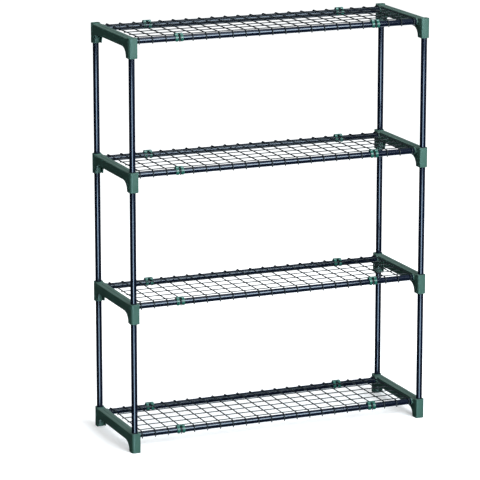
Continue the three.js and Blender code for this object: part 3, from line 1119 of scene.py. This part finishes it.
def build_floor():
    """A wide pale floor with a painted glow, so that it has no edge; the glow is weaker near the
    rack, a painted shade round its base.
    """
    material = bpy.data.materials.new("studio_floor")
    material.use_nodes = True
    tree = material.node_tree
    shader = tree.nodes["Principled BSDF"]
    place = add(tree, "ShaderNodeTexCoord", -900).outputs["Object"]
    tone = remap(tree, noise(tree, place, 1.3, 2.0, (-700, 0)), 0.3, 0.7, 0.0, 1.0, (-500, 0))
    away = add(tree, "ShaderNodeVectorMath", -700, -400, operation="LENGTH")
    link(tree, place, away.inputs[0])
    # Painted glow, weaker near the rack as a painted shade round its base.
    painted_glow = remap(tree, away.outputs["Value"], *FLOOR_PAINTED_SHADE_REACH, *FLOOR_PAINTED_GLOW, (-500, -400))
    link(tree, painted_glow, shader.inputs["Emission Strength"])
    mix = add(tree, "ShaderNodeMix", -250, 0, data_type="RGBA")
    link(tree, tone, mix.inputs["Factor"])
    mix.inputs["A"].default_value = (0.90, 0.90, 0.90, 1)
    mix.inputs["B"].default_value = (0.92, 0.92, 0.92, 1)
    link(tree, mix.outputs["Result"], shader.inputs["Base Color"])
    link(tree, mix.outputs["Result"], shader.inputs["Emission Color"])
    shader.inputs["Roughness"].default_value = 0.8
    shader.inputs["Specular IOR Level"].default_value = 0.0
    mesh = bpy.data.meshes.new("studio_floor")
    far = FLOOR_HALF_SIZE
    corners = [(-far, -far, 0), (far, -far, 0), (far, far, 0), (-far, far, 0)]
    mesh.from_pydata(corners, [], [(0, 1, 2, 3)])
    mesh.materials.append(material)
    floor = bpy.data.objects.new("studio_floor", mesh)
    bpy.context.scene.collection.objects.link(floor)
    floor.visible_glossy = False
    floor.visible_diffuse = False


def softbox(name, azimuth, elevation, distance, size, power, target, colour=(1, 1, 1)):
    """A soft rectangular light that looks at the target, at a direction and distance from it."""
    data = bpy.data.lights.new(name, "AREA")
    data.shape = "RECTANGLE"
    data.size, data.size_y = size
    data.energy = power
    data.color = colour
    light = bpy.data.objects.new(name, data)
    a, e = math.radians(azimuth), math.radians(elevation)
    back = Vector((math.sin(a) * math.cos(e), -math.cos(a) * math.cos(e), math.sin(e)))
    light.location = target + back * distance
    light.rotation_euler = (-back).to_track_quat("-Z", "Y").to_euler()
    light.visible_camera = False
    bpy.context.scene.collection.objects.link(light)


def towards_azimuth(tree, split, azimuth, half_width, fade):
    """1 for directions within half_width degrees of an azimuth, falling to 0 over the fade."""
    flat = combine(tree, split.outputs["X"], split.outputs["Y"], 0.0, (-500, -500))
    unit = add(tree, "ShaderNodeVectorMath", -350, -500, operation="NORMALIZE")
    link(tree, flat, unit.inputs[0])
    a = math.radians(azimuth)
    match = add(tree, "ShaderNodeVectorMath", -200, -500, operation="DOT_PRODUCT")
    link(tree, unit.outputs[0], match.inputs[0])
    match.inputs[1].default_value = (math.sin(a), -math.cos(a), 0)
    inner = math.cos(math.radians(half_width))
    outer = math.cos(math.radians(half_width + fade))
    return remap(tree, match.outputs["Value"], outer, inner, place=(0, -500))


def reflected_strip(tree, split):
    """An upright strip of light in front of the rack, low down, that only shines in reflections.

    Heights in the world are the z of a direction, from -1 straight down to 1 straight up.
    """
    strip = towards_azimuth(tree, split, STRIP_AZIMUTH, STRIP_HALF_WIDTH, STRIP_FADE)
    low = remap(tree, split.outputs["Z"], -0.75, -0.45, place=(0, -700))
    high = remap(tree, split.outputs["Z"], -0.10, 0.05, STRIP_STRENGTH, 0.0, (0, -850))
    height = math_node(tree, "MULTIPLY", low, high, (200, -750))
    return math_node(tree, "MULTIPLY", strip, height)


def reflected_floor(tree, split):
    """The pale floor behind the rack, as the undersides of the tubes mirror it."""
    behind = towards_azimuth(
        tree, split, FLOOR_SHEEN_AZIMUTH, FLOOR_SHEEN_HALF_WIDTH, FLOOR_SHEEN_FADE)
    below = remap(tree, split.outputs["Z"], -0.62, -0.42, FLOOR_SHEEN, 0.0, (0, -1150))
    return math_node(tree, "MULTIPLY", behind, below)


def build_world():
    """A plain white room: bright overhead, dim at the sides and below, and quiet in reflections."""
    world = bpy.data.worlds.new("studio")
    bpy.context.scene.world = world
    world.use_nodes = True
    tree = world.node_tree
    tree.nodes.clear()
    direction = add(tree, "ShaderNodeTexCoord", -900).outputs["Generated"]
    split = add(tree, "ShaderNodeSeparateXYZ", -700)
    link(tree, direction, split.inputs[0])
    ambient = remap(tree, split.outputs["Z"], -0.1, 0.9, 0.09, 0.75, (-500, 0))
    quiet = remap(tree, split.outputs["Z"], 0.0, 0.9, 0.02, 0.30, (-500, -250))
    mirrored = math_node(tree, "ADD", quiet, reflected_strip(tree, split), (300, -300))
    mirrored = math_node(tree, "ADD", mirrored, reflected_floor(tree, split), (350, -200))
    path = add(tree, "ShaderNodeLightPath", -500, 300)
    lit = add(tree, "ShaderNodeMix", 400, 0, data_type="FLOAT")
    link(tree, path.outputs["Is Glossy Ray"], lit.inputs["Factor"])
    link(tree, ambient, lit.inputs["A"])
    link(tree, mirrored, lit.inputs["B"])
    seen = add(tree, "ShaderNodeMix", 550, 0, data_type="FLOAT")
    link(tree, path.outputs["Is Camera Ray"], seen.inputs["Factor"])
    link(tree, lit.outputs["Result"], seen.inputs["A"])
    seen.inputs["B"].default_value = 1.0
    tint = add(tree, "ShaderNodeMix", 550, 300, data_type="RGBA")
    link(tree, path.outputs["Is Glossy Ray"], tint.inputs["Factor"])
    tint.inputs["A"].default_value = (0.96, 0.99, 1.0, 1)
    tint.inputs["B"].default_value = (0.72, 0.86, 1.0, 1)
    background = add(tree, "ShaderNodeBackground", 700, 0)
    link(tree, tint.outputs["Result"], background.inputs["Color"])
    link(tree, seen.outputs["Result"], background.inputs["Strength"])
    output = add(tree, "ShaderNodeOutputWorld", 900, 0)
    link(tree, background.outputs[0], output.inputs["Surface"])


def build_camera():
    data = bpy.data.cameras.new("camera")
    data.sensor_width = 36.0
    data.lens = CAMERA_LENS
    data.clip_end = 200.0
    camera = bpy.data.objects.new("camera", data)
    camera.location = CAMERA_PLACE
    camera.rotation_euler = (math.radians(90 + CAMERA_TILT), 0, math.radians(-CAMERA_YAW))
    bpy.context.scene.collection.objects.link(camera)
    bpy.context.scene.camera = camera


def build_studio():
    bpy.context.scene.view_settings.view_transform = "Standard"
    low, high = cad_box
    middle = (low + high) / 2
    build_floor()
    build_world()
    softbox(
        "key_softbox", azimuth=18, elevation=26, distance=4.5, size=(3.0, 2.2), power=340,
        target=middle, colour=(0.86, 0.94, 1.0))
    softbox(
        "top_softbox", azimuth=-10, elevation=80, distance=3.5, size=(2.5, 2.5), power=35,
        target=middle)
    build_camera()


build_studio()
build_brackets()
build_tubes()
build_decks()
build_clips()
